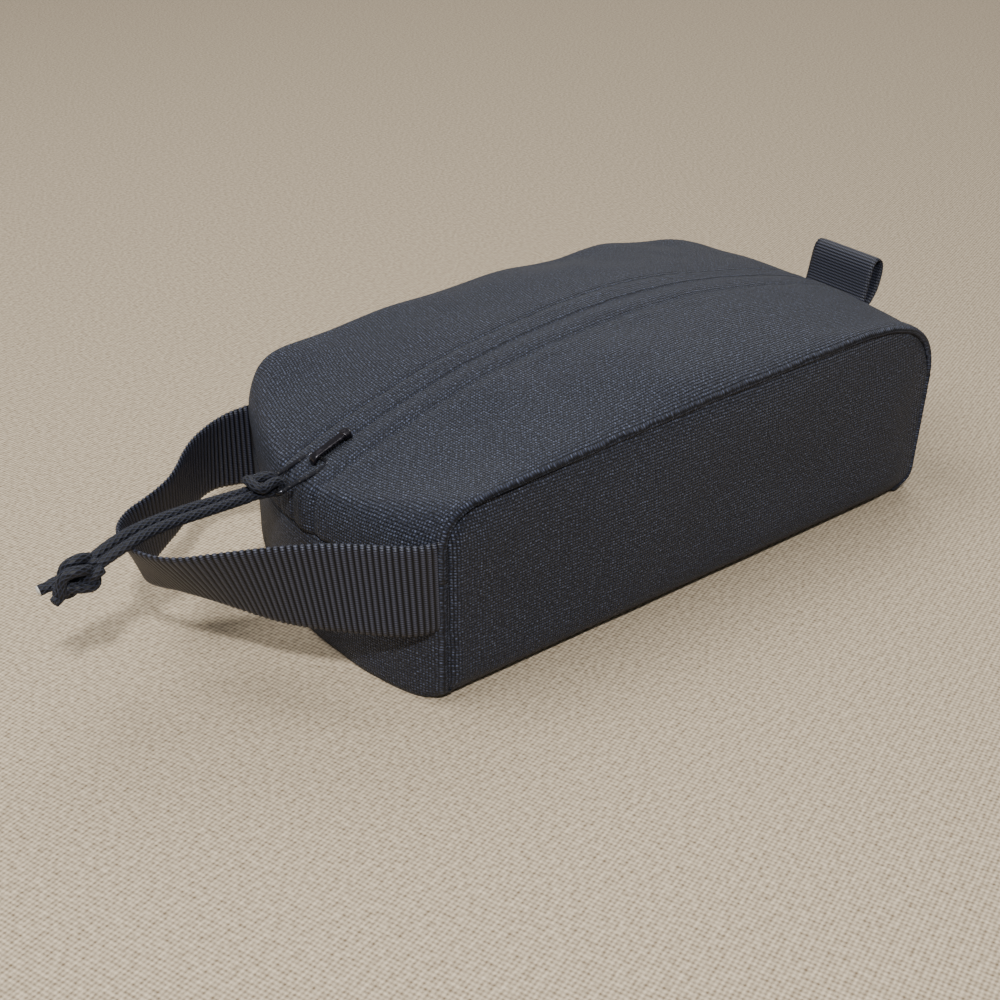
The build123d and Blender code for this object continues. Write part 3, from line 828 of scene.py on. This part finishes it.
for row_name, row_y in (
    ("topstitch_left", STITCH_LEFT),
    ("topstitch_right_inner", STITCH_RIGHT),
    ("topstitch_right_outer", STITCH_RIGHT - STITCH_PAIR),
):
    j = int(np.argmin(np.abs(lines_across - row_y * 1000)))
    row = [cloth_point(i, j) for i in range(FRONT_SEAM + 1, REAR_SEAM)]
    places, ways = along_row(row, STITCH_STEP)
    lifted = places - np.cross(ways, (0.0, -1.0, 0.0)) * THREAD * THREAD_OUT
    mesh = beads(lifted, ways, [(0.0, 1.0, 0.0)] * len(places), (STITCH, THREAD, THREAD))
    finished(row_name + "_thread", mesh, thread, "bag", "thread", row_name)

# ---- zip --------------------------------------------------------------------------------------
# A nylon coil zip under the folded edges of the panels: two halves of knitted polyester tape, and on
# the underside of each a coil of stiff nylon, seen here as the row of its turns.
TAPE_INNER, TAPE_OUTER, TAPE_DEPTH, TAPE_THICK = 0.85, 15.0, 2.7, 0.0005
COIL_INNER, COIL_OUTER, COIL_DEPTH, COIL_STEP = 0.85, 3.4, 4.0, 0.0013
COIL_TURN, COIL_WIRE = 0.0013, 0.0009       # the height of a turn and the thickness of its wire
END_ALLOWANCE = 2                    # the tape stops this many points of the outline short of the end seams
TAPE_ROWS = 6                        # lines of mesh across the tape
ROW_GAP = 0.0019                     # between neighbouring points of the outline, along the tape
WALE = 0.0008                        # between the ribs of the knit

tape_knit, tree, shader = new_material("knitted polyester tape")      # fine wales give a soft matt grain
cloth = node(tree, "ShaderNodeUVMap", uv_map="cloth")
wale = {"Vector": cloth.outputs["UV"], "Scale": 1 / WALE / 6.28, "Distortion": 1.0}
wale = node(tree, "ShaderNodeTexWave", wale)
tone = mix(tree, wale.outputs["Fac"], "#08080A", "#1A1B20")
tree.links.new(tone.outputs[2], shader.inputs["Base Color"])
shader.inputs["Roughness"].default_value = 0.8
# Smooth and a little glossy.
coil_nylon = speckled("extruded nylon coil", 800.0, 2.0, (0, 1), ("#0A0A0C", "#1D1D22"), Roughness=0.35)


def under_cloth(y, depth):
    """The line that runs along the zip at y, this far under the form of the cloth, in metres."""
    line = outline(y)
    ahead = np.roll(line, -1, axis=0) - np.roll(line, 1, axis=0)
    out = unit(np.stack([-ahead[:, 2], np.zeros(len(line)), ahead[:, 0]], axis=1))
    sunk = (line - out * depth)[FRONT_SEAM + END_ALLOWANCE:REAR_SEAM - END_ALLOWANCE]
    return [Vector((x / 1000 + from_bag, yy / 1000, z / 1000)) for x, yy, z in sunk]


for side_name, side in (("left", 1), ("right", -1)):
    rows = [under_cloth(side * y, TAPE_DEPTH) for y in np.linspace(TAPE_INNER, TAPE_OUTER, TAPE_ROWS)]
    if side < 0:
        rows = rows[::-1]
    long = len(rows[0]) - 1
    mesh = strip(
        TAPE_ROWS - 1, long,
        lambda a, b: rows[int(round(a * (TAPE_ROWS - 1)))][int(round(b * long))],
        lambda a, b: (rows[int(round(a * (TAPE_ROWS - 1)))][int(round(b * long))].y, b * long * ROW_GAP),
    )
    node_name = "zipper_tape_" + side_name
    tape = finished(node_name + "_knit", mesh, tape_knit, "bag", "zipper_tape", node_name)
    thicken(tape, TAPE_THICK)
    places, ways = along_row(under_cloth(side * (COIL_INNER + COIL_OUTER) / 2, COIL_DEPTH), COIL_STEP)
    turn_size = ((COIL_OUTER - COIL_INNER) / 1000, COIL_WIRE, COIL_TURN)
    mesh = beads(places, [(0.0, 1.0, 0.0)] * len(places), ways, turn_size)
    node_name = "zipper_coil_" + side_name
    finished(node_name + "_turns", mesh, coil_nylon, "bag", "zipper_coil", node_name)

# ---- slider -----------------------------------------------------------------------------------
# A cast zinc slider in black enamel. Its two plates hold the coil inside the bag, and its bridge is a
# flat strip that stands up through the slit, with a thicker cap over its rear leg.
slider_turn = -asin((0.089 + track.x) / TRACK_R)
slider_seat = Vector((track.x + TRACK_R * sin(slider_turn), 0.0, track.z + TRACK_R * cos(slider_turn)))

# Glossy, with paler specks where the enamel has worn thin.
enamel = speckled(
    "black baked enamel on zinc", 900.0, 3.0, (0.55, 0.8), ("#17131A", "#4A454C"), (0.2, 0.38),
    Metallic=0.55, Coat_Weight=0.5,
)
plates = bpy.data.objects["slider_body"]
plates.data.materials.clear()
plates.data.materials.append(enamel)


def on_slider(x, y, z):
    """A point given in millimetres from the middle of the slider, along, across and out of the bag."""
    along, out = x * cos(slider_turn) + z * sin(slider_turn), z * cos(slider_turn) - x * sin(slider_turn)
    return Vector((slider_seat.x + along / 1000 + from_bag, y / 1000, slider_seat.z + out / 1000))


FACES_ROUND_BAR = 20


def bar(line, across, sizes, squareness=0.35):
    """A solid strip along a line: across is its width's direction, sizes its width and thickness there."""
    ahead = np.gradient(np.array([list(p) for p in line]), axis=0)
    long = len(line) - 1

    def place(a, b):
        k = int(round(b * long))
        out = Vector(across).cross(Vector(ahead[k])).normalized()
        c, s = cos(2 * pi * a), sin(2 * pi * a)
        wide = abs(c) ** squareness * (1 if c > 0 else -1) * sizes[k][0] / 2
        high = abs(s) ** squareness * (1 if s > 0 else -1) * sizes[k][1] / 2
        return Vector(line[k]) + Vector(across) * wide + out * high

    return closed(strip(FACES_ROUND_BAR, long, place, lambda a, b: (a, b)))


bridge_route = [
    (-6.2, 0, -1.4), (-6.2, 0, 0.2), (-6.1, 0, 1.6), (-5.2, 0, 2.75), (-3.4, 0, 2.75), (0, 0, 2.75),
    (3.4, 0, 2.75), (5.0, 0, 2.7), (6.0, 0, 1.7), (6.2, 0, 0.2), (6.2, 0, -1.4),
]
bridge_line, _ = spaced(route_line([on_slider(*p) for p in bridge_route]), 0.0003)
SHOULDER = 0.0006                    # the strip widens from this height out of the cloth
NARROW, WIDEN, STRIP_THICK = 0.0010, 0.0016, 0.0009
CAP_WIDE, CAP_THICK = 0.0034, 0.0018
outwards = Vector(on_slider(0, 0, 1)) - Vector(on_slider(0, 0, 0))
bridge_sizes = []
for p in bridge_line:
    high = (Vector(p) - on_slider(0, 0, 0)).dot(outwards.normalized())
    widen = min(1.0, max(0.0, (high - SHOULDER) / 0.0008))
    bridge_sizes.append((NARROW + WIDEN * widen, STRIP_THICK))
mesh = bar(bridge_line, (0.0, 1.0, 0.0), bridge_sizes)
finished("slider_bridge_strip", mesh, enamel, "slider", "slider_metal", "slider_bridge")
cap_line, _ = spaced([on_slider(4.2, 0, 2.75), on_slider(6.5, 0, 2.45)], 0.0002)
cap_ends = [abs(v) ** 6 for v in np.linspace(-1, 1, len(cap_line))]
cap_sizes = [(CAP_WIDE * (1 - 0.35 * end), CAP_THICK) for end in cap_ends]
mesh = bar(cap_line, (0.0, 1.0, 0.0), cap_sizes, squareness=0.5)
finished("slider_bridge_cap", mesh, enamel, "slider", "slider_metal", "slider_bridge")

# ---- puller -----------------------------------------------------------------------------------
# A rectangle of round steel wire, coated black, that turns in the bridge. Its long sides are a little
# uneven from being bent by hand round the bridge.
WIRE = 0.0012
bar_joint = next(j for j in frame["joints"] if j["name"] == "puller_lift")
near_bar, far_bar = Vector(bar_joint["pos_m"]), cord_bar
# A hard thin coat with sharp glints, painted as its pale specks.
coated = speckled(
    "black coated steel wire", 1500.0, 2.0, (0.6, 0.75), ("#37373D", "#8D8982"), (0.12, 0.3), Metallic=0.75
)
lie = (far_bar - near_bar).normalized()
reach_out = (far_bar - near_bar).length
HALF_LOOP, LOOP_CORNER = 0.0039, 0.0016
BEND_WOBBLE = 0.00022                # how far a long side strays from straight
FACES_ROUND_WIRE = 14
corners = [(0.0, HALF_LOOP), (reach_out, HALF_LOOP), (reach_out, -HALF_LOOP), (0.0, -HALF_LOOP)]
loop_line = []
for k, (ahead_by, to_side) in enumerate(corners):
    before, after = corners[k - 1], corners[(k + 1) % 4]
    here = Vector((ahead_by, to_side))
    onward = (Vector(after) - here).normalized()
    a, c = here + (Vector(before) - here).normalized() * LOOP_CORNER, here + onward * LOOP_CORNER
    loop_line += [a * (1 - t) ** 2 + here * 2 * t * (1 - t) + c * t ** 2 for t in np.linspace(0, 1, 9)]
    if k % 2 == 0:
        loop_line += [c + onward * (reach_out - 2 * LOOP_CORNER) * t for t in np.linspace(0.06, 0.94, 12)]
loop_line.append(loop_line[0])
jog = [BEND_WOBBLE * sin(p.x / reach_out * 2 * pi) * (1 if p.y > 0 else -1) for p in loop_line]
middle_line = [near_bar + lie * p.x + Vector((0.0, p.y + j, 0.0)) for p, j in zip(loop_line, jog)]
upright = lie.cross(Vector((0.0, 1.0, 0.0)))
wire_last = len(middle_line) - 1


def wire_place(a, b):
    k = int(round(b * wire_last)) % wire_last
    way = (middle_line[(k + 1) % wire_last] - middle_line[k - 1]).normalized()
    side = way.cross(upright).normalized()
    return middle_line[k] + (side * cos(2 * pi * a) + upright * sin(2 * pi * a)) * WIRE / 2


mesh = strip(FACES_ROUND_WIRE, wire_last, wire_place, lambda a, b: (a, b))
bmesh.ops.recalc_face_normals(mesh, faces=mesh.faces)
finished("puller_wire", mesh, coated, "puller", "puller_wire", "puller_loop")

# ---- handle -----------------------------------------------------------------------------------
# One piece of 25 mm ribbed nylon webbing, sewn into both front seams. The weft cords make ribs across
# its width, and the warp covers them with fine yarns that run along it.
WEB_WIDTH, WEB_THICK, RIB = 0.025, 0.0014, 0.0016
WARP_YARN = 0.0006
RIB_RISE = 0.00044                   # how far a rib stands out of the hollow beside it
STEPS_PER_RIB = 8
webbing, tree, shader = new_material("ribbed nylon webbing")          # satin on the ribs, with painted highlights on their crowns and painted shade between them
cloth = node(tree, "ShaderNodeUVMap", uv_map="cloth")
parts = node(tree, "ShaderNodeSeparateXYZ", {"Vector": cloth.outputs["UV"]})
half_rib = maths(tree, "MULTIPLY", parts.outputs["Y"], pi)
rib_wave = maths(tree, "SINE", half_rib.outputs[0])
crown = maths(tree, "ABSOLUTE", rib_wave.outputs[0])
rib_side = maths(tree, "SIGN", rib_wave.outputs[0])
yarn_count = maths(tree, "MULTIPLY", parts.outputs["X"], pi / WARP_YARN)
staggered = maths(tree, "MULTIPLY_ADD", rib_side.outputs[0], pi / 4, yarn_count.outputs[0])
yarn_wave = maths(tree, "SINE", staggered.outputs[0])
yarn_top = maths(tree, "ABSOLUTE", yarn_wave.outputs[0])
surface = maths(tree, "MULTIPLY", crown.outputs[0], yarn_top.outputs[0])
surface = maths(tree, "POWER", surface.outputs[0], 1.8)
# The crowns of the ribs get painted highlights, and the hollows between them get painted shade, near black.
tone = mix(tree, surface.outputs[0], "#020203", "#4B4E5E")
tree.links.new(tone.outputs[2], shader.inputs["Base Color"])
relief = node(tree, "ShaderNodeBump", {"Height": yarn_top.outputs[0], "Strength": 0.5, "Distance": 0.00012})
tree.links.new(relief.outputs["Normal"], shader.inputs["Normal"])
shader.inputs["Roughness"].default_value = 0.42
shader.inputs["Specular IOR Level"].default_value = 0.3


def webbing_piece(edge_a, edge_b, width, thick, rib, rise):
    """Ribbed webbing between the lines of its two edges, with a real ridge for each rib."""
    line_a, _ = spaced(edge_a, rib / STEPS_PER_RIB)
    count = len(line_a) - 1
    line_b = np.array([list(p) for p in edge_b])
    line_b = at_runs(line_b, run_of(line_b), np.linspace(0, run_of(line_b)[-1], count + 1))
    across = unit(line_b - line_a)
    out = unit(np.cross(np.gradient((line_a + line_b) / 2, axis=0), across))
    faces_wide = 18
    section = [(k / faces_wide, 1.0) for k in range(faces_wide + 1)] + [(1.0, 0.0)]
    section += [(1 - k / faces_wide, -1.0) for k in range(faces_wide + 1)] + [(0.0, 0.0), (0.0, 1.0)]
    last = len(section) - 1

    def place(a, b):
        k = int(round(b * count))
        share, face = section[int(round(a * last))]
        ridge = abs(sin(pi * k / STEPS_PER_RIB)) ** 0.8
        nearness = min(share, 1 - share) * width
        rounded = 0.45 + 0.55 * min(1.0, nearness / 0.0018) ** 0.5
        picot = (0.05 * rib * (ridge - 0.5) * (1 if share > 0.5 else -1)) if nearness < 1e-6 else 0.0
        height = face * (thick / 2 * rounded - rise * (1 - ridge))
        return Vector(line_a[k] + across[k] * (share * width + picot) + out[k] * height)

    def coordinate(a, b):
        return section[int(round(a * last))][0] * width, b * count / STEPS_PER_RIB

    return closed(strip(last, count, place, coordinate))


upper_edge = [
    (-85.5, -47.0, 48.0), (-91.4, -48.5, 48.0), (-98.0, -44.4, 47.9), (-109.0, -32.6, 47.6),
    (-121.0, -24.6, 47.2), (-133.0, -18.4, 46.8), (-144.0, -12.8, 46.3), (-148.8, -2.0, 46.0),
    (-147.0, 9.5, 45.2), (-140.0, 18.6, 44.0), (-131.0, 23.0, 43.6), (-121.5, 28.0, 44.4),
    (-112.5, 37.4, 46.6), (-103.5, 42.6, 47.6), (-96.0, 45.6, 47.8), (-88.5, 46.2, 48.0), (-84.0, 46.0, 48.0),
]
lower_edge = [
    (-85.5, -47.0, 23.0), (-91.6, -48.7, 22.9), (-99.5, -45.4, 22.5), (-109.5, -33.4, 22.4),
    (-118.5, -22.4, 22.8), (-126.5, -10.0, 24.2), (-133.8, 1.6, 26.2), (-138.0, 9.6, 27.0),
    (-138.4, 18.0, 26.2), (-132.5, 26.0, 25.0), (-125.0, 31.6, 24.5), (-116.5, 37.6, 24.3),
    (-109.0, 45.0, 24.0), (-101.5, 49.4, 23.6), (-95.0, 49.2, 23.2), (-88.5, 47.0, 23.0), (-84.0, 46.0, 23.0),
]
edges = [route_line(from_middle(edge)) for edge in (upper_edge, lower_edge)]
mesh = webbing_piece(*edges, WEB_WIDTH, WEB_THICK, RIB, RIB_RISE)
covers = ("handle_webbing", "handle_end_left", "handle_end_right")
handle = finished("handle_webbing_strap", mesh, webbing, None, "webbing", *covers)
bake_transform(handle)

# ---- rear tab ---------------------------------------------------------------------------------
# A short length of 25 mm grosgrain tape folded in half and sewn into the rear seam. It stands up and
# leans back a little, and its fold is open from side to side.
TAB_THICK, TAB_RIB, TAB_RISE, HALF_TAB = 0.0010, 0.00095, 0.00016, 12.5
tab_route = [
    (101.5, 43.5), (103.8, 46.0), (105.8, 50.6), (107.0, 56.0), (107.8, 60.2), (109.2, 62.7), (111.6, 63.0),
    (113.2, 60.8), (112.8, 56.0), (111.0, 51.0), (107.0, 47.0), (103.0, 43.0),
]
near_edge = route_line(from_middle([(x, -HALF_TAB, z) for x, z in tab_route]))
far_edge = route_line(from_middle([(x, HALF_TAB, z + 0.3) for x, z in tab_route]))
mesh = webbing_piece(near_edge, far_edge, WEB_WIDTH, TAB_THICK, TAB_RIB, TAB_RISE)
tab = finished("rear_tab_tape", mesh, webbing, None, "webbing", "rear_tab", "rear_tab_end")
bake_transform(tab)
